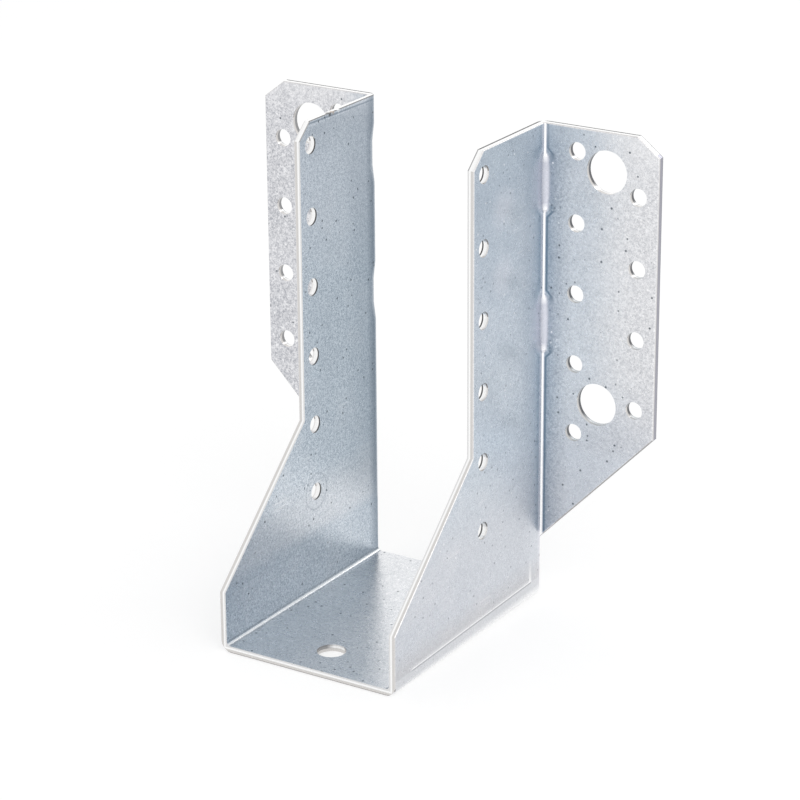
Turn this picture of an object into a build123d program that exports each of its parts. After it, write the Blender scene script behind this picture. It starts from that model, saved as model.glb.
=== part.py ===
from build123d import *
import os

os.makedirs("parts", exist_ok=True)

# Joist hanger folded from one flat blank of zinc-coated steel, in millimetres.
# X runs across the joist, the joist comes in from the front at -Y, and +Z is up.
# The flanges' rear faces lie against the header beam. Depths are drawn from that plane,
# and the last step sets the middle of the part's footprint on the origin.

# Sheet, its bends, and the rounding that the blanking press leaves on one side's rim
sheet = 2.0
rollover = 0.4
seat_bend_radius = 1.2
crease_radius = 0.8
soft_fold_radius = 2.2
fold_straight = 1.0

# Overall shape
inner_width = 52.0
height = 138.0
seat_front = 78.0
seat_rear = 2.0

# Cheek outline, seen from the side
cheek_top_depth = 38.5
cheek_shoulder_height = 54.0
cheek_toe_height = 17.5
cheek_chamfer_depth = 5.0
cheek_chamfer_height = 4.5

# Flange outline, seen from the front
flange_width = 34.5
flange_shoulder_height = 54.0
flange_foot_height = 18.5
flange_chamfer_width = 6.5
flange_chamfer_height = 5.0

# Nail holes
nail_diameter = 5.0
nail_pitch = 20.0
nail_top_margin = 6.5
cheek_nail_margin = 5.0
cheek_nail_count = 6
inner_column_offset = 10.0
inner_column_count = 5
outer_column_offset = 28.5
outer_column_count = 4

# Bolt holes, and the hole in the seat
bolt_diameter = 12.0
upper_bolt_offset = 19.0
upper_bolt_margin = 11.0
lower_bolt_offset = 17.0
lower_bolt_margin = 77.0
seat_hole_diameter = 8.0
seat_hole_margin = 12.0

# Lengths of each fold that the press left soft, by the drop of their middles from the top.
# In front most of the rise comes within soft_end, and behind it comes evenly.
upper_soft_drop = 16.5
lower_soft_drop = 56.5
soft_length = 17.0
soft_end = 1.0
soft_end_share = 0.7
soft_shoulder = 4.0

# Faces that meet at less than this many degrees count as one smooth side of the sheet
smooth_angle = 40

# Faces and rows that follow from the sizes above
inner_face = inner_width / 2
outer_face = inner_face + sheet
flange_edge = outer_face + flange_width
fold_start = sheet + soft_fold_radius + fold_straight
fold_end = inner_face + fold_start
soft_rise = soft_fold_radius - crease_radius
front_shoulder = crease_radius + soft_rise * soft_end_share
rear_shoulder = crease_radius + sheet + soft_rise * soft_end / (soft_end + soft_shoulder)
top_row = height - nail_top_margin
outer_top_row = top_row - nail_pitch / 2
cheek_nail_depth = cheek_top_depth - cheek_nail_margin
ledge_height = flange_foot_height + rollover
overrun = 2 * sheet


def row_heights(first, count):
    """Heights of one column of nail holes, from the top down."""
    return [first - nail_pitch * i for i in range(count)]


def bent_strip(inner_points, outer_points, inner_radius, outer_radius):
    """Section of the sheet between two bent lines, each with its own radius."""
    inner_line = FilletPolyline(*inner_points, radius=inner_radius)
    outer_line = FilletPolyline(*outer_points, radius=outer_radius)
    start_edge = Line(inner_points[0], outer_points[0])
    end_edge = Line(inner_points[-1], outer_points[-1])
    return make_face([*inner_line.edges(), *outer_line.edges(), start_edge, end_edge])


def skin_from(start, body):
    """Faces of the body that run on smoothly from the start face: one side of the sheet."""
    skin = [start]
    for face in skin:
        for other in body.faces():
            shared = [e for e in face.edges() if any(e.is_same(o) for o in other.edges())]
            bends = [face.normal_at(e @ 0.5).get_angle(other.normal_at(e @ 0.5)) for e in shared]
            if other not in skin and any(bend < smooth_angle for bend in bends):
                skin.append(other)
    return skin


def rolled(body, start, keep):
    """Body with the rim of the start face's skin rounded, where keep holds for an edge's middle."""
    edges = [e for face in skin_from(start, body) for e in face.edges()]
    rim = [e for e in edges if sum(e.is_same(o) for o in edges) == 1]
    return fillet([e for e in rim if keep(e @ 0.5)], rollover)


def trough():
    """Seat and cheeks as one bent channel, before the cheeks are cut to their outline."""
    inner_points = [
        (-inner_face, height),
        (-inner_face, sheet),
        (inner_face, sheet),
        (inner_face, height),
    ]
    outer_points = [
        (-outer_face, height),
        (-outer_face, 0),
        (outer_face, 0),
        (outer_face, height),
    ]
    strip = bent_strip(inner_points, outer_points, seat_bend_radius, seat_bend_radius + sheet)
    section = Plane.XZ * strip
    return extrude(Pos(0, -seat_rear, 0) * section, seat_front - seat_rear)


def cheek_outline():
    """Side view of the cheeks, cut back at the rear to where the folds begin."""
    chamfer_y = cheek_top_depth - cheek_chamfer_depth
    outline = Polyline(
        (-seat_rear, -overrun),
        (-seat_front, -overrun),
        (-seat_front, cheek_toe_height),
        (-cheek_top_depth, cheek_shoulder_height),
        (-cheek_top_depth, height - cheek_chamfer_height),
        (-chamfer_y, height),
        (-fold_start, height),
        (-fold_start, ledge_height),
        (-seat_rear, ledge_height),
        close=True,
    )
    return extrude(Plane.YZ * make_face(outline), outer_face + overrun, both=True)


def fold_section(z, front_radius, rear_radius):
    """Plan section of one fold at height z, with the start of its cheek and its flange."""
    front_points = [
        (outer_face, -fold_start),
        (outer_face, -sheet),
        (fold_end, -sheet),
    ]
    rear_points = [
        (inner_face, -fold_start),
        (inner_face, 0),
        (fold_end, 0),
    ]
    return Pos(0, 0, z) * bent_strip(front_points, rear_points, front_radius, rear_radius)


def fold_levels():
    """Heights up one fold where its radii change, each with the front and the rear radius there."""
    crease = (crease_radius, crease_radius + sheet)
    shoulder = (front_shoulder, rear_shoulder)
    soft = (soft_fold_radius, soft_fold_radius + sheet)
    levels = [(0, *crease)]
    for drop in (lower_soft_drop, upper_soft_drop):
        bottom = height - drop - soft_length / 2
        top = bottom + soft_length
        levels += [
            (bottom, *crease),
            (bottom + soft_end, *shoulder),
            (bottom + soft_end + soft_shoulder, *soft),
            (top - soft_end - soft_shoulder, *soft),
            (top - soft_end, *shoulder),
            (top, *crease),
        ]
    levels.append((height, *crease))
    return levels


def flange_outline():
    """Front view of the right flange, its lower slope carried on across the fold."""
    slope = (flange_shoulder_height - flange_foot_height) / flange_width
    outline = Polyline(
        (inner_face, flange_foot_height - slope * sheet),
        (flange_edge, flange_shoulder_height),
        (flange_edge, height - flange_chamfer_height),
        (flange_edge - flange_chamfer_width, height),
        (inner_face, height),
        close=True,
    )
    return extrude(Plane.XZ * make_face(outline), fold_start + overrun, both=True)


def flange():
    """Right flange with its fold, creased sharp but for its soft lengths."""
    body = Pos((fold_end + flange_edge) / 2, -sheet / 2, height / 2) * Box(
        flange_edge - fold_end, sheet, height
    )
    sections = [fold_section(*level) for level in fold_levels()]
    for pair in zip(sections, sections[1:]):
        body += loft(pair, ruled=True)
    body &= flange_outline()
    front = body.faces().filter_by_position(Axis.Y, -sheet, -sheet)[0]
    return rolled(body, front, lambda p: p.Y > -fold_start)


def channel():
    """Seat and both cheeks, up to where the folds begin."""
    body = trough() & cheek_outline()
    underside = body.faces().sort_by(Axis.Z)[0]
    return rolled(body, underside, lambda p: p.Y < -fold_start or p.Z < flange_foot_height)


def flange_holes():
    """Nail and bolt holes of the right flange."""
    nail = Rot(90, 0, 0) * Cylinder(nail_diameter / 2, 2 * fold_start)
    bolt = Rot(90, 0, 0) * Cylinder(bolt_diameter / 2, 2 * fold_start)
    columns = [
        (inner_column_offset, row_heights(top_row, inner_column_count)),
        (outer_column_offset, row_heights(outer_top_row, outer_column_count)),
    ]
    holes = [Pos(outer_face + x, 0, z) * nail for x, rows in columns for z in rows]
    holes.append(Pos(outer_face + upper_bolt_offset, 0, height - upper_bolt_margin) * bolt)
    holes.append(Pos(outer_face + lower_bolt_offset, 0, height - lower_bolt_margin) * bolt)
    return holes


def cheek_holes():
    """Nail holes through both cheeks, in line with each other across the joist."""
    nail = Rot(0, 90, 0) * Cylinder(nail_diameter / 2, 2 * (outer_face + overrun))
    return [Pos(0, -cheek_nail_depth, z) * nail for z in row_heights(top_row, cheek_nail_count)]


def seat_hole():
    """Hole through the seat near its front edge."""
    return Pos(0, seat_hole_margin - seat_front, 0) * Cylinder(seat_hole_diameter / 2, 2 * overrun)


def joist_hanger():
    """The whole folded sheet as one solid."""
    right_flange = flange() - flange_holes()
    left_flange = mirror(right_flange, about=Plane.YZ)
    pocket = channel() - cheek_holes() - seat_hole()
    return pocket + right_flange + left_flange


export_step(Pos(0, seat_front / 2, 0) * joist_hanger(), "parts/joist_hanger.step")
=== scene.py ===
import math

import bpy
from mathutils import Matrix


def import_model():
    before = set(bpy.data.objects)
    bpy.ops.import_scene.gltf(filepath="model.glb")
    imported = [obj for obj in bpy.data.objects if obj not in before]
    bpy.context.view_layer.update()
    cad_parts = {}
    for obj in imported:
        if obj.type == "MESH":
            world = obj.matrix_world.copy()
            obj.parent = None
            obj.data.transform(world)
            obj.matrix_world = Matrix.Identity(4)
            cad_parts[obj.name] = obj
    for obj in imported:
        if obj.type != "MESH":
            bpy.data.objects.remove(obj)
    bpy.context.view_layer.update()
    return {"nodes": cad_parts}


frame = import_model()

# Camera
CAMERA_PLACE = (0.41147, -0.64165, 0.35374)
CAMERA_TURN = (69.288, 0.362, 32.198)
LENS_MM = 136.2
SENSOR_MM = 36.0
CLIP_START = 0.01

# Boards that are seen only in the metal: name, middle, turn in degrees, width and height, and tone at each
# side. BOARD_CHANGE is where across a board the first tone starts to give way, and where the second is full.
BOARD_DIM = (0.56, 0.60, 0.63, 1)
BOARD_PALE = (0.80, 0.83, 0.86, 1)
BOARD_BRIGHT = (1.3, 1.3, 1.3, 1)
BOARD_SKY = (1.2, 1.2, 1.2, 1)
BOARDS = (
    ("board_dark", (0.027, 0.077, 0.0617), (90, 0, 0), (0.074, 0.1195), (BOARD_DIM, BOARD_PALE)),
    ("board_right", (0.22, -0.24, 0.001), (0, 0, 0), (0.30, 0.34), (BOARD_BRIGHT, BOARD_BRIGHT)),
    ("board_sky", (-0.30, 0.48, 0.25), (55, 0, 32), (0.50, 0.30), (BOARD_SKY, BOARD_SKY)),
)
BOARD_CHANGE = (0.3, 0.8)

# Lamps: name, place, the point each is turned towards, size and watts
LAMPS = (
    ("key", (0.9, -0.9, 1.3), (0, 0, 0.07), 1.03, 4.0),
    ("fill", (1.2, -0.6, 1.0), (0, 0, 0.07), 1.0, 1.5),
    ("back", (0.19, 0.95, 0.71), (0, 0, 0), 0.22, 0.45),
)

# Floor and surroundings
FLOOR_SIZE = 6.0
FLOOR_TONE = (0.5, 0.5, 0.5, 1)
FLOOR_GLOW = 0.57
WORLD_TONE = (1, 1, 1, 1)
WORLD_FILL = 0.8
WORLD_SEEN = 1.0

# The folded sheet in the frame's metres: its thickness and outer skin, the zones of its bends, the soft
# lengths of each fold, and where the painted shade line in front of a fold turns outwards around them
SHEET = 0.002
CHEEK_OUTSIDE = 0.028
FLANGE_FRONT = 0.037
SEAT_BEND_TOP = 0.0055
FOLD_ZONE = 0.0325
SOFT_MIDDLES = (0.1215, 0.0815)
SOFT_HALF = 0.0085
SOFT_FADE = (SOFT_HALF, SOFT_HALF - 0.003)
CREASE_SHADE_TURN = (SOFT_HALF + 0.0012, SOFT_HALF - 0.0004)

# Directions of a face, as limits of its normal's parts along x, y and z. They have no sign, so that both
# sides of the part are alike, but in FACES_DOWN.
FLAT = 0.9
MOSTLY_FLAT = (0.6, 0.9)
FACES_DOWN = -0.15
FOLD_MOST_Z = 0.45
SEAT_BEND_MOST_Y = 0.05
SEAT_BEND_LEAST_X = 0.05

# Noises: scale, detail and roughness
FINE_SAND = (2500.0, 1.0, 0.6)
COARSE_SAND = (1200.0, 1.0, 0.5)
CLOUDS = (60.0, 3.0, 0.55)
STREAKS = (1.0, 1.0, 0.5)
CROWDS = (110.0, 2.0, 0.5)
RELIEF = (700.0, 2.0, 0.5)

# Sandy grain: dark and pale tone on each face, and the spread of its noise on the inner and the outer side.
# The tones also differ from face to face as painted shading, darkest on the outer faces of the cheeks.
FLANGE_GRAIN_AND_SHADE = ((0.41, 0.42, 0.455, 1), (0.88, 0.88, 0.90, 1))
CHEEK_GRAIN_AND_SHADE = ((0.43, 0.49, 0.555, 1), (0.87, 0.93, 0.985, 1))
SEAT_GRAIN_AND_SHADE = ((0.53, 0.555, 0.585, 1), (0.95, 0.955, 0.97, 1))
OUTSIDE_GRAIN_AND_SHADE = ((0.39, 0.445, 0.51, 1), (0.78, 0.845, 0.905, 1))
CHEEK_SPREADS = (0.13, 0.25)
OTHER_SPREADS = (0.21, 0.17)
COARSE_SHARE = 0.35
NOISE_MIDDLE = 0.5

# Changes of tone. Of two numbers, a tone starts at the first and is full at the second, and a third is its
# strength there. Of four, the last two are its strengths at the first two.
PALE_CLOUD = (0.5, 0.75, 0.25)
PALE_CLOUD_TONE = (0.83, 0.84, 0.87, 1)
DARK_CLOUD = (0.5, 0.25, 0.12)
DARK_CLOUD_TONE = (0.45, 0.49, 0.54, 1)
STREAK_SCALE = (900, 55, 2200)
STREAK = (0.62, 0.72, 0.35)
STREAK_CLOUD = (0.5, 0.6)
STREAK_TONE = (0.95, 0.96, 0.98, 1)

# Pits and specks: scale of their cells, share of the cells that stays bare on the cheeks, and tone.
# BARE_SHARE is that share on the other faces.
PITS = (390.0, 0.97, (0.07, 0.09, 0.11, 1))
SPECKS = (450.0, 0.85, (0.97, 0.97, 0.98, 1))
SPOT_EDGE = (0.16, 0.09, 0.85)
SPOT_LEAST_FACING = 0.97
SPOT_CHEEK_LEAST_X = 0.75
SPOT_OUTSIDE_STRENGTH = 0.6
CROWD_EDGE = (0.5, 0.65)
BARE_SHARE = 0.65
BARE_SHARE_IN_CROWD = 0.3

# Sparkles beside the lower end of each soft length on the right
SPARKLES = ((0.0316, 0.037, 0.1158), (0.0314, 0.037, 0.0756))
SPARKLE_REACH = (0.0032, 0.0006, 0.7)
SPARKLE_SCALE = 1200.0
SPARKLE_EDGE = (0.5, 0.35, 0.9)
SPARKLE_FROM = 0.4
SPARKLE_BRIGHT_FROM = 0.7
SPARKLE_DARK = (0.10, 0.12, 0.15, 1)
SPARKLE_BRIGHT = (0.98, 0.98, 0.98, 1)

# Painted shade line in the corner in front of each fold. Plurals hold one value for its sharp and one for its
# soft lengths.
CREASE_SHADE_PLACES = (CHEEK_OUTSIDE + 0.0010, CHEEK_OUTSIDE + 0.0026)
CREASE_SHADE_REACHES = (0.0006, 0.0016)
CREASE_SHADE_STRENGTHS = (0.9, 0.2)
CREASE_SHADE_EDGE = (1.0, 0.3)
CREASE_SHADE_TONE = (0.10, 0.13, 0.17, 1)

# Front of the flanges: painted shade beside the fold, painted light in front on the right and along the top
FLANGE_FOLD_SHADE = (0.036, 0.029, 0.55)
FLANGE_FOLD_SHADE_TONE = (0.22, 0.32, 0.42, 1)
FLANGE_LIGHT_EDGE = (0.030, 0.037)
FLANGE_LIGHT_ACROSS = (0.058, 0.046, 0.30, 0.46)
FLANGE_LIGHT_LOW = (0.060, 0.045, 0.62)
FLANGE_LIGHT_TONE = (0.97, 0.97, 0.97, 1)
FLANGE_LIGHT_LOW_TONE = (0.92, 0.96, 1.0, 1)
FLANGE_TOP_LIGHT = (0.129, 0.136, 0.3)
FLANGE_TOP_LIGHT_TONE = (0.95, 0.95, 0.96, 1)

# Back of the flanges, and painted shade towards the rear of the seat
FLANGE_BACK = 0.25
FLANGE_BACK_TONE = (0.93, 0.95, 0.97, 1)
SEAT_REAR_SHADE = (0.005, 0.030, 0.12)
SEAT_REAR_SHADE_TONE = (0.50, 0.50, 0.51, 1)

# Inner faces of the cheeks: painted shade towards the rear and the foot, a painted glare low down, painted
# light near the top, and a painted shadow line and painted shade under the top edge and behind the fold
INSIDE_REAR_SHADE = (0.020, 0.035, 0.35)
INSIDE_LOW_SHADE_EDGE = (0.022, 0.0185)
INSIDE_LOW_SHADE = (0.010, 0.018, 0.05, 0.16)
INSIDE_SHADE_TONE = (0.26, 0.33, 0.41, 1)
GLARE_BOTTOM = (0.018, 0.022)
GLARE_TOP = (0.038, 0.030, 0.25)
GLARE_TONE = (0.76, 0.735, 0.74, 1)
INSIDE_TOP_LIGHT = (0.090, 0.115, 0.17)
INSIDE_TOP_LIGHT_TONE = (0.92, 0.88, 0.92, 1)
RIM_SLOPE = -0.018
RIM_HEIGHT = 0.1376
RIM_SHADOW_LINE = (0.0004, 0.0001, 0.7)
RIM_SHADE_TOP = 0.1366
RIM_SHADE = (0.126, 0.136, 0.22)
RIM_SHADE_TONE = (0.20, 0.25, 0.31, 1)
BEHIND_FOLD_SHADE = (0.0325, 0.0360, 0.65)
BEHIND_FOLD_SHADE_LEAST_X = 0.3

# Outer faces of the cheeks: painted reflections, darker at the top, pale near the rear and in two soft
# patches, and painted light towards the foot
OUTSIDE_TOP_SHADE = (0.075, 0.125, 0.38)
OUTSIDE_TOP_SHADE_TONE = (0.28, 0.37, 0.46, 1)
OUTSIDE_REAR_REFLECTION = (0.028, 0.034, 0.35)
OUTSIDE_REAR_REFLECTION_TONE = (0.84, 0.90, 0.96, 1)
OUTSIDE_LOW_LIGHT = (0.055, 0.030, 0.35)
OUTSIDE_LOW_LIGHT_TONE = (0.685, 0.645, 0.658, 1)
PALE_REFLECTIONS = ((0.028, 0.0153, 0.1199), (0.028, 0.0155, 0.1011))
PALE_REFLECTION_REACH = (0.007, 0.002, 0.25)
PALE_REFLECTION_TONE = (0.90, 0.89, 0.94, 1)

# Painted reflections along each fold: a pale band on the cheek beside it, a haze, and a painted highlight on
# its crest.
# Plurals hold one value for its sharp and one for its soft lengths.
BAND_STARTS = (0.0352, 0.0295)
BAND_ENDS = (0.0360, 0.0345)
BAND_STRENGTHS = (0.35, 0.6)
BAND_REFLECTION_TONE = (0.88, 0.87, 0.93, 1)
HAZE_EDGE = (0.02, 0.3)
HAZE_STRENGTHS = (0.6, 0.85)
HAZE_REFLECTION_TONES = ((0.86, 0.85, 0.90, 1), (0.56, 0.575, 0.65, 1))
CREST_HIGHLIGHT_EDGE = (0.36, 0.46)
CREST_HIGHLIGHT_STRENGTHS = (1.0, 0.0)
CREST_HIGHLIGHT_TONE = (0.97, 0.97, 0.98, 1)

# Painted highlight along each bend of the seat, with painted shade at its sides
SEAT_HIGHLIGHT_SIDE_SHADE = (0.01, 0.1)
SEAT_HIGHLIGHT_SIDE_SHADE_END = (0.45, 0.40, 0.4)
SEAT_HIGHLIGHT_SIDE_SHADE_TONE = (0.25, 0.27, 0.30, 1)
SEAT_HIGHLIGHT = (0.42, 0.47)
SEAT_HIGHLIGHT_TONE = (0.99, 0.99, 0.99, 1)

# Line of the die at the foot of each cheek, and the tones around it, which go by the height above the line: a
# painted reflection fading to white towards the underside, a painted highlight along the line and painted
# shade just below it. At its rear end a hook of painted highlight, which goes by the height above the
# underside, carries it on upwards.
MARK_HEIGHT = 0.0055
MARK_RISE = 0.023
MARK_FRONT = (-0.032, -0.030)
MARK_REAR = 0.032
MARK_LEAST_X = 0.8
FOOT_LEAST_X = 0.2
FOOT_STRIP = 0.55
FOOT_STRIP_TONE = (0.71, 0.71, 0.72, 1)
FOOT_REFLECTION = (-0.0020, -0.0042, 0.85)
FOOT_REFLECTION_TONE = (0.97, 0.97, 0.97, 1)
MARK_WARM = (0.0075, 0.0015, 0.28)
MARK_WARM_TONE = (0.50, 0.46, 0.43, 1)
MARK_START = (0.0, 0.0001)
MARK_GLOW = (0.0014, 0.0004, 0.35)
MARK_GLINT = (0.00055, 0.00035, 0.7)
MARK_HOOK_PLACE = MARK_REAR - 0.0006
MARK_HOOK_WIDTH = (0.0010, 0.0003)
MARK_HOOK_HEIGHT = (0.0135, 0.0065, 0.8)
MARK_HIGHLIGHT_TONE = (0.96, 0.96, 0.97, 1)
MARK_SHADE_BOTTOM = (-0.0005, -0.0001)
MARK_SHADE_TOP = (0.0001, 0.0, 0.75)
MARK_SHADE_TONE = (0.33, 0.34, 0.36, 1)

# Cut edges: places of the cheeks' nail holes and of the top edges, directions, and depths in the sheet from
# its outer skin. The second of SHEARED_STRENGTHS is for those holes and edges, and the second strength of
# the painted shade on the hole walls for the right side. The dark line along the burr is painted shadow.
CUT_FACING = (0.55, 0.25)
CUT_TONE = (0.97, 0.97, 0.97, 1)
NAIL_HOLES = (0.0029, 0.0081)
NAIL_HOLE_TOP = 0.1342
TOP_EDGES_FROM = 0.1330
TOP_EDGE_LEAST_Z = 0.5
CHAMFER_MOST_Z = 0.9
ROLLED_DEPTH = (0.0005, 0.0004)
ROLLED_FACING = (0.98, 0.85)
ROLLED_STRENGTH = 0.6
ROLLED_TONE = (0.72, 0.70, 0.69, 1)
ROLLED_DOWN_SHADE_STRENGTH = 0.7
ROLLED_DOWN_SHADE_TONE = (0.20, 0.18, 0.17, 1)
SHEARED_DEPTH = (0.0012, 0.0009)
SHEARED_STRENGTHS = (0.8, 0.1)
SHEARED_TONE = (0.58, 0.56, 0.54, 1)
WALL_SHADE_FACING_X = (0.4, 0.8)
WALL_SHADE_DEPTH = (0.0008, 0.0010)
WALL_SHADE_STRENGTHS = (0.75, 0.95)
WALL_SHADE_TONE = (0.12, 0.12, 0.13, 1)
END_FROM = 0.0615
END_DEPTH = (0.0003, 0.0005, 0.85)
END_TONE = (0.27, 0.27, 0.33, 1)
BURR_DEPTH = 0.0015
BURR_DEPTH_TOP = 0.0013
BURR_DEPTH_CHAMFER = 0.0016
BURR_SHADOW_WIDTH = 0.0001
BURR_SHADOW_STRENGTH = 0.25
BURR_SHADOW_STRENGTH_CLEAN = 0.95
BURR_SHADOW_STRENGTH_CHAMFER = 0.6
BURR_SHADOW_TONE = (0.05, 0.05, 0.05, 1)

# Dents in the left cheek's top edge, painted as spots: place, reach and tone, the white and brown ones a
# painted highlight and the black one a painted shadow. Last, the ring around its lowest nail hole.
DENT_SHADING = (
    ((-0.0264, 0.0195, 0.1378), 0.0008, (0.97, 0.97, 0.97, 1)),
    ((-0.0265, 0.0168, 0.1379), 0.0009, (0.45, 0.36, 0.28, 1)),
    ((-0.0265, 0.0151, 0.1379), 0.0011, (0.05, 0.05, 0.05, 1)),
)
DENT_STRENGTH = 0.85
RINGED_HOLE = (-0.026, 0.0055, 0.0315)
RING_RADIUS = 0.0052
RING_WIDTH = (0.0004, 0.0, 0.4)
RING_TONE = (0.25, 0.29, 0.34, 1)

# Relief and gloss of the zinc. ROUGHNESS holds two values of the relief's noise, and how rough it is at each.
BUMP_STRENGTH = 0.3
BUMP_HEIGHT = 0.0001
ROUGHNESS = (0.3, 0.7, 0.25, 0.33)


class Nodes:
    """Adds shader nodes to one node tree, with the values and links of each in one call."""

    def __init__(self, tree):
        self.tree = tree
        tree.nodes.clear()

    def add(self, kind, settings=None, **inputs):
        node = self.tree.nodes.new(kind)
        for name, value in (settings or {}).items():
            setattr(node, name, value)
        for name, value in inputs.items():
            self.put(node, name.replace("_", " "), value)
        return node

    def put(self, node, name, value):
        socket = node.inputs[int(name)] if name.isdigit() else node.inputs[name]
        if isinstance(value, bpy.types.NodeSocket):
            self.tree.links.new(value, socket)
        else:
            socket.default_value = value

    def math(self, operation, a, b=0.0, c=0.0, clamp=False):
        node = self.add("ShaderNodeMath", {"operation": operation, "use_clamp": clamp})
        for i, value in enumerate((a, b, c)):
            self.put(node, str(i), value)
        return node.outputs[0]

    def mix(self, factor, a, b):
        node = self.add("ShaderNodeMix", {"data_type": "RGBA"})
        self.put(node, "0", factor)
        self.put(node, "6", a)
        self.put(node, "7", b)
        return node.outputs[2]

    def wash(self, tone, colour, *shares):
        """The tone, mixed towards the colour by the product of the shares."""
        return self.mix(self.all_of(*shares), tone, colour)

    def either(self, test, no, yes):
        """The number yes where test is 1, and no where it is 0."""
        return self.math("MULTIPLY_ADD", test, self.math("SUBTRACT", yes, no), no)

    def above(self, value, limit):
        return self.math("GREATER_THAN", value, limit)

    def below(self, value, limit):
        return self.math("LESS_THAN", value, limit)

    def opposite(self, share):
        return self.math("SUBTRACT", 1.0, share)

    def apart(self, a, b):
        return self.math("ABSOLUTE", self.math("SUBTRACT", a, b))

    def all_of(self, first, *others):
        for other in others:
            first = self.math("MULTIPLY", first, other)
        return first

    def parts(self, vector):
        split = self.add("ShaderNodeSeparateXYZ", Vector=vector)
        return [split.outputs[i] for i in range(3)]

    def noise(self, where, scale, detail, roughness):
        node = self.add("ShaderNodeTexNoise", Vector=where, Scale=scale, Detail=detail, Roughness=roughness)
        return node.outputs["Fac"]

    def cells(self, where, scale):
        """Distance to the middle of the nearest cell, and that cell's own number from 0 to 1."""
        node = self.add("ShaderNodeTexVoronoi", Vector=where, Scale=scale)
        return node.outputs["Distance"], self.parts(node.outputs["Color"])[0]

    def distance(self, where, middle):
        node = self.add("ShaderNodeVectorMath", {"operation": "DISTANCE"})
        self.put(node, "0", where)
        self.put(node, "1", middle)
        return node.outputs["Value"]

    def span(self, value, low, high, to_low=0.0, to_high=1.0):
        """The value's way from low to high, as a number from to_low to to_high and never outside them."""
        node = self.add("ShaderNodeMapRange", Value=value)
        numbers = {"From Min": low, "From Max": high, "To Min": to_low, "To Max": to_high}
        for name, number in numbers.items():
            self.put(node, name, number)
        return node.outputs[0]

    def fade(self, value, start, full, strength=1.0):
        """0 up to the start, growing to the strength where it is full."""
        return self.span(value, start, full, 0.0, strength)


class Sheet:
    """Where a point lies on the folded sheet: its place, its face's direction and its depth in the sheet."""

    def __init__(self, n):
        coordinates = n.add("ShaderNodeTexCoord")
        self.place = coordinates.outputs["Object"]
        x, self.y, self.z = n.parts(self.place)
        self.right = n.above(x, 0.0)
        self.x = n.math("ABSOLUTE", x)
        normal = n.parts(coordinates.outputs["Normal"])
        self.nx, self.ny, self.nz = (n.math("ABSOLUTE", part) for part in normal)
        self.down = n.below(normal[2], FACES_DOWN)
        self.find_depth(n)
        self.find_faces(n)
        self.find_bends(n)

    def find_depth(self, n):
        """Depth from the outer skin, and how squarely a face lies along the sheet there."""
        beside_cheek = n.math("SUBTRACT", CHEEK_OUTSIDE, self.x)
        beside_flange = n.math("SUBTRACT", self.y, FLANGE_FRONT)
        upright = n.math("MAXIMUM", beside_cheek, beside_flange)
        self.depth = n.math("MINIMUM", upright, self.z)
        on_cheek = n.above(beside_cheek, beside_flange)
        on_seat = n.below(self.z, upright)
        self.facing = n.either(on_seat, n.either(on_cheek, self.ny, self.nx), self.nz)
        self.outer = n.below(self.depth, SHEET / 2)
        self.inner = n.above(self.depth, SHEET / 2)

    def find_faces(self, n):
        """The flat faces of the sheet."""
        on_cheek = n.above(self.nx, FLAT)
        on_flange = n.all_of(n.above(self.ny, FLAT), n.above(self.x, CHEEK_OUTSIDE))
        self.cheek_inside = n.all_of(on_cheek, self.inner)
        self.cheek_outside = n.all_of(on_cheek, self.outer)
        self.flange_front = n.all_of(on_flange, self.outer)
        self.flange_back = n.all_of(on_flange, self.inner)
        self.seat_top = n.all_of(n.above(self.nz, FLAT), self.inner)

    def find_bends(self, n):
        """The bends of the seat, the folds beside the flanges, and the soft lengths of those."""
        self.at_seat_bend = n.all_of(n.below(self.z, SEAT_BEND_TOP), n.below(self.ny, SEAT_BEND_MOST_Y))
        in_zone = n.all_of(n.above(self.y, FOLD_ZONE), n.below(self.x, FOLD_ZONE))
        self.at_fold = n.all_of(in_zone, n.below(self.nz, FOLD_MOST_Z))
        gap = n.math("MINIMUM", *(n.apart(self.z, middle) for middle in SOFT_MIDDLES))
        self.soft = n.fade(gap, *SOFT_FADE)
        self.near_soft = n.fade(gap, *CREASE_SHADE_TURN)


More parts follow.
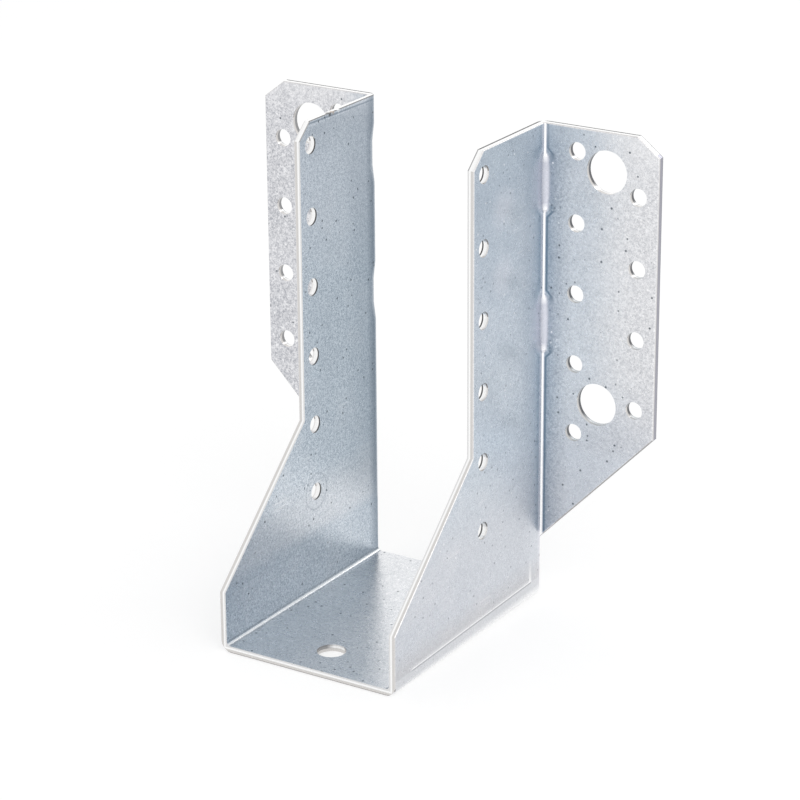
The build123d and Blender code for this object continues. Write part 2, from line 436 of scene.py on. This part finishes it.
def grain(n, sheet):
    """Tone of the zinc: pale blue-grey with a sandy grain, soft clouds and drawn streaks, and painted shading
    that differs from face to face.
    """
    on_cheek = n.fade(sheet.nx, *MOSTLY_FLAT)
    on_seat = n.fade(sheet.nz, *MOSTLY_FLAT)
    outside = n.all_of(on_cheek, sheet.outer)
    ends = []
    # Each face's tones carry painted shading as well as the grain.
    for flange, cheek, seat, cheek_outside in zip(FLANGE_GRAIN_AND_SHADE, CHEEK_GRAIN_AND_SHADE, SEAT_GRAIN_AND_SHADE, OUTSIDE_GRAIN_AND_SHADE):
        end = n.mix(on_seat, n.mix(on_cheek, flange, cheek), seat)
        ends.append(n.mix(outside, end, cheek_outside))

    fine = n.math("MULTIPLY", n.noise(sheet.place, *FINE_SAND), 1 - COARSE_SHARE)
    sand = n.math("MULTIPLY_ADD", n.noise(sheet.place, *COARSE_SAND), COARSE_SHARE, fine)
    spread = n.either(on_cheek, n.either(sheet.outer, *OTHER_SPREADS), n.either(sheet.outer, *CHEEK_SPREADS))
    swing = n.math("DIVIDE", n.math("SUBTRACT", sand, NOISE_MIDDLE), spread)
    tone = n.mix(n.math("MULTIPLY_ADD", swing, 0.5, 0.5, clamp=True), *ends)

    cloud = n.noise(sheet.place, *CLOUDS)
    tone = n.wash(tone, PALE_CLOUD_TONE, n.fade(cloud, *PALE_CLOUD))
    tone = n.wash(tone, DARK_CLOUD_TONE, n.fade(cloud, *DARK_CLOUD))
    drawn = n.add("ShaderNodeMapping", Vector=sheet.place, Scale=STREAK_SCALE)
    streak = n.noise(drawn.outputs[0], *STREAKS)
    return n.wash(tone, STREAK_TONE, n.fade(streak, *STREAK), n.fade(cloud, *STREAK_CLOUD))


def groove(n, sheet, tone):
    """Painted shade line in the corner in front of each fold, hooked outwards around its soft lengths."""
    off_line = n.apart(sheet.x, n.either(sheet.near_soft, *CREASE_SHADE_PLACES))
    across = n.fade(n.math("DIVIDE", off_line, n.either(sheet.soft, *CREASE_SHADE_REACHES)), *CREASE_SHADE_EDGE)
    in_front = n.all_of(sheet.at_fold, sheet.outer, n.above(sheet.ny, sheet.nx))
    # Painted shade: a dark line on the flange's front in the corner of the fold.
    return n.wash(tone, CREASE_SHADE_TONE, across, in_front, n.either(sheet.soft, *CREASE_SHADE_STRENGTHS))


def flange_tones(n, sheet, tone):
    """Flanges: painted shade in blue beside the fold, painted light in front on the right and near the top,
    and a little paler behind.
    """
    front = sheet.flange_front
    # Painted shade: the front darkens to blue towards the fold.
    tone = n.wash(tone, FLANGE_FOLD_SHADE_TONE, front, n.fade(sheet.x, *FLANGE_FOLD_SHADE))
    # Painted light on the right flange's front, bluish low down.
    strength = n.math("MAXIMUM", n.span(sheet.x, *FLANGE_LIGHT_ACROSS), n.fade(sheet.z, *FLANGE_LIGHT_LOW))
    colour = n.mix(n.fade(sheet.z, *FLANGE_LIGHT_LOW[:2]), FLANGE_LIGHT_TONE, FLANGE_LIGHT_LOW_TONE)
    tone = n.wash(tone, colour, front, sheet.right, n.fade(sheet.x, *FLANGE_LIGHT_EDGE), strength)
    # Painted light along the top of the front.
    tone = n.wash(tone, FLANGE_TOP_LIGHT_TONE, front, n.fade(sheet.z, *FLANGE_TOP_LIGHT))
    return n.wash(tone, FLANGE_BACK_TONE, sheet.flange_back, FLANGE_BACK)


def inside_tones(n, sheet, tone):
    """Seat and inner faces of the cheeks, darkened by painted shade towards the rear and where they meet,
    with a painted glare low on the cheeks, painted light near the top, and painted shadow under the top edge
    and behind the fold.
    """
    inside = sheet.cheek_inside
    # Painted shade towards the rear and the foot of the inner faces.
    tone = n.wash(tone, INSIDE_SHADE_TONE, inside, n.fade(sheet.y, *INSIDE_REAR_SHADE))
    tone = n.wash(tone, INSIDE_SHADE_TONE, inside, n.fade(sheet.z, *INSIDE_LOW_SHADE_EDGE), n.span(sheet.z, *INSIDE_LOW_SHADE))
    # Painted glare low on the cheeks, and painted light near their top.
    tone = n.wash(tone, GLARE_TONE, inside, n.fade(sheet.z, *GLARE_BOTTOM), n.fade(sheet.z, *GLARE_TOP))
    tone = n.wash(tone, INSIDE_TOP_LIGHT_TONE, inside, n.fade(sheet.z, *INSIDE_TOP_LIGHT))
    # Painted shade towards the rear of the seat.
    tone = n.wash(tone, SEAT_REAR_SHADE_TONE, sheet.seat_top, n.fade(sheet.y, *SEAT_REAR_SHADE))

    # Painted shadow line under the top edge, with painted shade below it, and painted shade behind the fold.
    line = n.fade(n.apart(sheet.z, n.math("MULTIPLY_ADD", sheet.y, RIM_SLOPE, RIM_HEIGHT)), *RIM_SHADOW_LINE)
    shade = n.all_of(n.below(sheet.z, RIM_SHADE_TOP), n.fade(sheet.z, *RIM_SHADE))
    tone = n.wash(tone, RIM_SHADE_TONE, inside, n.math("MAXIMUM", line, shade))
    behind = n.all_of(n.above(sheet.nx, BEHIND_FOLD_SHADE_LEAST_X), sheet.inner)
    return n.wash(tone, RIM_SHADE_TONE, behind, n.fade(sheet.y, *BEHIND_FOLD_SHADE))


def outside_tones(n, sheet, tone):
    """Outer faces of the cheeks, as painted reflections: darker blue at the top, pale beside the fold and in
    two soft patches, and paler and warmer towards the foot.
    """
    outside = sheet.cheek_outside
    # Painted reflections: darker blue at the top, pale near the rear, and painted light, paler and warmer, at
    # the foot.
    tone = n.wash(tone, OUTSIDE_TOP_SHADE_TONE, outside, n.fade(sheet.z, *OUTSIDE_TOP_SHADE))
    tone = n.wash(tone, OUTSIDE_REAR_REFLECTION_TONE, outside, n.fade(sheet.y, *OUTSIDE_REAR_REFLECTION))
    tone = n.wash(tone, OUTSIDE_LOW_LIGHT_TONE, outside, n.fade(sheet.z, *OUTSIDE_LOW_LIGHT))
    # Painted reflections in two soft pale patches.
    for middle in PALE_REFLECTIONS:
        patch = n.fade(n.distance(sheet.place, middle), *PALE_REFLECTION_REACH)
        tone = n.wash(tone, PALE_REFLECTION_TONE, outside, patch)
    # Painted reflection: a pale band beside each fold.
    band = n.fade(sheet.y, n.either(sheet.soft, *BAND_STARTS), n.either(sheet.soft, *BAND_ENDS))
    return n.wash(tone, BAND_REFLECTION_TONE, outside, band, n.either(sheet.soft, *BAND_STRENGTHS))


def crests(n, sheet, tone):
    """Painted light on the bends: a haze of painted reflection and a painted highlight on the crest of each
    fold, and a painted highlight with painted shade at its sides along the seat's bends.
    """
    fold = n.all_of(sheet.nx, sheet.ny, sheet.at_fold, sheet.outer)
    # Painted reflection across each fold, and a painted highlight on its crest.
    haze = n.all_of(n.fade(fold, *HAZE_EDGE), n.either(sheet.soft, *HAZE_STRENGTHS))
    tone = n.mix(haze, tone, n.mix(sheet.soft, *HAZE_REFLECTION_TONES))
    tone = n.wash(tone, CREST_HIGHLIGHT_TONE, n.fade(fold, *CREST_HIGHLIGHT_EDGE), n.either(sheet.soft, *CREST_HIGHLIGHT_STRENGTHS))

    # Painted highlight along each bend of the seat, with painted shade at its sides.
    seat = n.all_of(sheet.nx, sheet.nz, sheet.at_seat_bend, n.opposite(sheet.outer))
    sides = n.all_of(n.fade(seat, *SEAT_HIGHLIGHT_SIDE_SHADE), n.fade(seat, *SEAT_HIGHLIGHT_SIDE_SHADE_END))
    tone = n.wash(tone, SEAT_HIGHLIGHT_SIDE_SHADE_TONE, sides)
    return n.wash(tone, SEAT_HIGHLIGHT_TONE, n.fade(seat, *SEAT_HIGHLIGHT))


def spots(n, sheet, tone):
    """Dark pits and pale specks in loose crowds on the flat faces."""
    crowd = n.noise(sheet.place, *CROWDS)
    on_cheek = n.above(sheet.nx, SPOT_CHEEK_LEAST_X)
    strength = n.either(n.all_of(on_cheek, sheet.outer), 1.0, SPOT_OUTSIDE_STRENGTH)
    strength = n.all_of(strength, n.above(sheet.facing, SPOT_LEAST_FACING))
    for scale, cheek_bare_share, colour in (PITS, SPECKS):
        away, number = n.cells(sheet.place, scale)
        bare_share = n.either(on_cheek, BARE_SHARE, cheek_bare_share)
        bare = n.span(crowd, *CROWD_EDGE, bare_share, BARE_SHARE_IN_CROWD)
        tone = n.wash(tone, colour, n.fade(away, *SPOT_EDGE), n.above(number, bare), strength)
    return tone


def sparkles(n, sheet, tone):
    """Thick crowd of small dark and bright specks beside the lower end of each soft length on the right."""
    away, number = n.cells(sheet.place, SPARKLE_SCALE)
    speck = n.all_of(n.fade(away, *SPARKLE_EDGE), n.above(number, SPARKLE_FROM))
    colour = n.mix(n.above(number, SPARKLE_BRIGHT_FROM), SPARKLE_DARK, SPARKLE_BRIGHT)
    for middle in SPARKLES:
        tone = n.wash(tone, colour, speck, n.fade(n.distance(sheet.place, middle), *SPARKLE_REACH))
    return tone


def die_mark(n, sheet, tone):
    """Line that the bending die pressed into the foot of each cheek's outer face, paler below it, drawn as a
    painted highlight with painted shade just below, and a painted reflection fading to white towards the
    underside.
    """
    height = n.math("SUBTRACT", sheet.z, n.math("MULTIPLY_ADD", sheet.y, MARK_RISE, MARK_HEIGHT))
    foot = n.all_of(n.above(sheet.nx, FOOT_LEAST_X), sheet.outer)
    tone = n.wash(tone, FOOT_STRIP_TONE, foot, n.below(height, 0.0), FOOT_STRIP)
    # Painted reflection fading to white towards the underside.
    tone = n.wash(tone, FOOT_REFLECTION_TONE, foot, n.fade(height, *FOOT_REFLECTION))
    outside = n.all_of(n.above(sheet.nx, MARK_LEAST_X), sheet.outer)
    tone = n.wash(tone, MARK_WARM_TONE, outside, n.above(height, 0.0), n.fade(height, *MARK_WARM))

    # Painted highlight along the line and up its hook, and painted shade just below the line.
    along = n.all_of(outside, n.fade(sheet.y, *MARK_FRONT), n.below(sheet.y, MARK_REAR))
    for fading in (MARK_GLOW, MARK_GLINT):
        tone = n.wash(tone, MARK_HIGHLIGHT_TONE, along, n.fade(height, *MARK_START), n.fade(height, *fading))
    across = n.fade(n.apart(sheet.y, MARK_HOOK_PLACE), *MARK_HOOK_WIDTH)
    hook = n.all_of(outside, across, n.above(height, 0.0))
    tone = n.wash(tone, MARK_HIGHLIGHT_TONE, hook, n.fade(sheet.z, *MARK_HOOK_HEIGHT))
    shade = n.all_of(n.fade(height, *MARK_SHADE_BOTTOM), n.fade(height, *MARK_SHADE_TOP))
    return n.wash(tone, MARK_SHADE_TONE, along, shade)


def cut_metal(n, sheet, at_top, clean):
    """Tone of the bare metal: a grey sheared band, painted shade on hole walls that face partly sideways,
    duskier on the ends, and a painted shadow line along the burr.
    """
    sheared = n.all_of(n.fade(sheet.depth, *SHEARED_DEPTH), n.either(clean, *SHEARED_STRENGTHS))
    bare = n.mix(sheared, CUT_TONE, SHEARED_TONE)
    at_end = n.above(sheet.x, END_FROM)
    # Painted shade on hole walls and cut faces that face partly sideways.
    wall_shade = n.all_of(n.fade(sheet.nx, *WALL_SHADE_FACING_X), n.fade(sheet.depth, *WALL_SHADE_DEPTH), n.opposite(at_end))
    bare = n.wash(bare, WALL_SHADE_TONE, wall_shade, n.either(sheet.right, *WALL_SHADE_STRENGTHS))
    bare = n.wash(bare, END_TONE, at_end, n.fade(sheet.depth, *END_DEPTH))

    # Painted shadow line along the burr.
    at_chamfer = n.all_of(at_top, n.below(sheet.nz, CHAMFER_MOST_Z))
    start = n.either(at_top, BURR_DEPTH, n.either(at_chamfer, BURR_DEPTH_TOP, BURR_DEPTH_CHAMFER))
    strength = n.either(at_chamfer, BURR_SHADOW_STRENGTH_CLEAN, BURR_SHADOW_STRENGTH_CHAMFER)
    strength = n.either(clean, BURR_SHADOW_STRENGTH, strength)
    burr = n.fade(n.math("SUBTRACT", sheet.depth, start), 0.0, BURR_SHADOW_WIDTH, strength)
    return n.wash(bare, BURR_SHADOW_TONE, burr)


def cut_edges(n, sheet, tone):
    """Bare metal on the cut edges and hole walls, with a pale rolled rim that has painted shade where it
    faces down.
    """
    in_row = n.all_of(n.above(sheet.y, NAIL_HOLES[0]), n.below(sheet.y, NAIL_HOLES[1]))
    in_nail_hole = n.all_of(in_row, n.below(sheet.z, NAIL_HOLE_TOP))
    at_top = n.all_of(n.above(sheet.z, TOP_EDGES_FROM), n.above(sheet.nz, TOP_EDGE_LEAST_Z))
    clean = n.math("MAXIMUM", in_nail_hole, at_top)
    bare = cut_metal(n, sheet, at_top, clean)
    tone = n.mix(n.fade(sheet.facing, *CUT_FACING), tone, bare)

    at_seat_bend = n.all_of(sheet.at_seat_bend, n.above(sheet.nx, SEAT_BEND_LEAST_X))
    off_bends = n.opposite(n.math("MAXIMUM", sheet.at_fold, at_seat_bend))
    rolled = n.all_of(n.fade(sheet.depth, *ROLLED_DEPTH), n.fade(sheet.facing, *ROLLED_FACING), off_bends)
    tone = n.wash(tone, ROLLED_TONE, rolled, ROLLED_STRENGTH)
    # Painted shade on the rolled rim where it faces down.
    return n.wash(tone, ROLLED_DOWN_SHADE_TONE, rolled, sheet.down, ROLLED_DOWN_SHADE_STRENGTH)


def damage(n, sheet, tone):
    """Small dents in the left cheek's top edge, painted as a highlight and a shadow, and the ring that the
    punch left around its lowest hole.
    """
    off_ring = n.apart(n.distance(sheet.place, RINGED_HOLE), RING_RADIUS)
    tone = n.wash(tone, RING_TONE, n.fade(off_ring, *RING_WIDTH), sheet.cheek_inside)
    # Each dent is painted: white and brown spots as painted highlight, a black spot as painted shadow.
    for middle, reach, colour in DENT_SHADING:
        dent = n.fade(n.distance(sheet.place, middle), reach, reach / 2, DENT_STRENGTH)
        tone = n.wash(tone, colour, dent)
    return tone


def new_material(name):
    material = bpy.data.materials.new(name)
    material.use_nodes = True
    return material, Nodes(material.node_tree)


def zinc():
    """Zinc-coated sheet, with bare bright metal on its cut edges and in its holes."""
    material, n = new_material("zinc_sheet")
    sheet = Sheet(n)
    tone = grain(n, sheet)
    faces = (flange_tones, inside_tones, outside_tones)
    for layer in (groove, *faces, crests, spots, sparkles, die_mark, cut_edges, damage):
        tone = layer(n, sheet, tone)

    relief = n.noise(sheet.place, *RELIEF)
    bump = n.add("ShaderNodeBump", Height=relief, Strength=BUMP_STRENGTH, Distance=BUMP_HEIGHT)
    shader = n.add(
        "ShaderNodeBsdfPrincipled",
        Base_Color=tone,
        Metallic=1.0,
        Roughness=n.span(relief, *ROUGHNESS),
        Normal=bump.outputs[0],
    )
    n.add("ShaderNodeOutputMaterial", Surface=shader.outputs[0])
    return material


def seen_directly(n):
    """1 for what the camera sees straight, or by gloss or glass, and 0 for light that falls on things."""
    path = n.add("ShaderNodeLightPath")
    seen = n.math("ADD", path.outputs["Is Camera Ray"], path.outputs["Is Glossy Ray"], clamp=True)
    return n.math("ADD", seen, path.outputs["Is Transmission Ray"], clamp=True)


def pick_shader(n, test, no, yes):
    """The shader yes where test is 1, and no where it is 0."""
    pick = n.add("ShaderNodeMixShader")
    for i, socket in enumerate((test, no.outputs[0], yes.outputs[0])):
        n.put(pick, str(i), socket)
    return pick.outputs[0]


def floor():
    """Plain pale floor under the object, white to the eye, that keeps the object's soft shadow."""
    bpy.ops.mesh.primitive_plane_add(size=FLOOR_SIZE, location=(0, 0, 0))
    plane = bpy.context.object
    plane.name = "floor"
    material, n = new_material("floor_paper")
    matt = n.add("ShaderNodeBsdfDiffuse", Color=FLOOR_TONE)
    glow = n.add("ShaderNodeEmission", Strength=FLOOR_GLOW)
    both = n.add("ShaderNodeAddShader")
    n.put(both, "0", matt.outputs[0])
    n.put(both, "1", glow.outputs[0])
    n.add("ShaderNodeOutputMaterial", Surface=pick_shader(n, seen_directly(n), matt, both))
    plane.data.materials.append(material)


def board(name, middle, turn, size, tones):
    """Flat studio board that only the metal mirrors, its tone going from one side to the other."""
    turn = [math.radians(degrees) for degrees in turn]
    bpy.ops.mesh.primitive_plane_add(size=1, location=middle, rotation=turn)
    plane = bpy.context.object
    plane.name = name
    plane.scale = (*size, 1)
    material, n = new_material(name)
    across = n.parts(n.add("ShaderNodeTexCoord").outputs["Generated"])[0]
    tone = n.mix(n.fade(across, *BOARD_CHANGE), *tones)
    glow = n.add("ShaderNodeEmission", Color=tone, Strength=1.0)
    n.add("ShaderNodeOutputMaterial", Surface=glow.outputs[0])
    plane.data.materials.append(material)
    plane.visible_camera = False
    plane.visible_diffuse = False
    plane.visible_shadow = False


def world():
    """White surroundings: plain fill light on things, and full white to the eye."""
    surroundings = bpy.data.worlds.new("studio")
    surroundings.use_nodes = True
    bpy.context.scene.world = surroundings
    n = Nodes(surroundings.node_tree)
    fill = n.add("ShaderNodeBackground", Color=WORLD_TONE, Strength=WORLD_FILL)
    white = n.add("ShaderNodeBackground", Color=WORLD_TONE, Strength=WORLD_SEEN)
    n.add("ShaderNodeOutputWorld", Surface=pick_shader(n, seen_directly(n), fill, white))


def lamp(name, place, aim, size, watts):
    """Square soft lamp at place, turned towards aim."""
    data = bpy.data.lights.new(name, "AREA")
    data.size = size
    data.energy = watts
    lamp_object = bpy.data.objects.new(name, data)
    bpy.context.scene.collection.objects.link(lamp_object)
    lamp_object.location = place
    along_x, along_y, along_z = (b - a for a, b in zip(place, aim))
    tilt = math.atan2(math.hypot(along_x, along_y), -along_z)
    turn = math.atan2(along_y, along_x) - math.pi / 2
    lamp_object.rotation_euler = (tilt, 0, turn)


def camera():
    """Camera at the photograph's viewing angle."""
    data = bpy.data.cameras.new("camera")
    data.lens = LENS_MM
    data.sensor_width = SENSOR_MM
    data.clip_start = CLIP_START
    camera_object = bpy.data.objects.new("camera", data)
    bpy.context.scene.collection.objects.link(camera_object)
    camera_object.location = CAMERA_PLACE
    camera_object.rotation_euler = [math.radians(degrees) for degrees in CAMERA_TURN]
    bpy.context.scene.camera = camera_object


hanger = frame["nodes"]["joist_hanger"]
for slot in hanger.material_slots:
    slot.material = zinc()

floor()
for settings in BOARDS:
    board(*settings)
world()
for settings in LAMPS:
    lamp(*settings)
camera()
bpy.context.scene.view_settings.view_transform = "Standard"
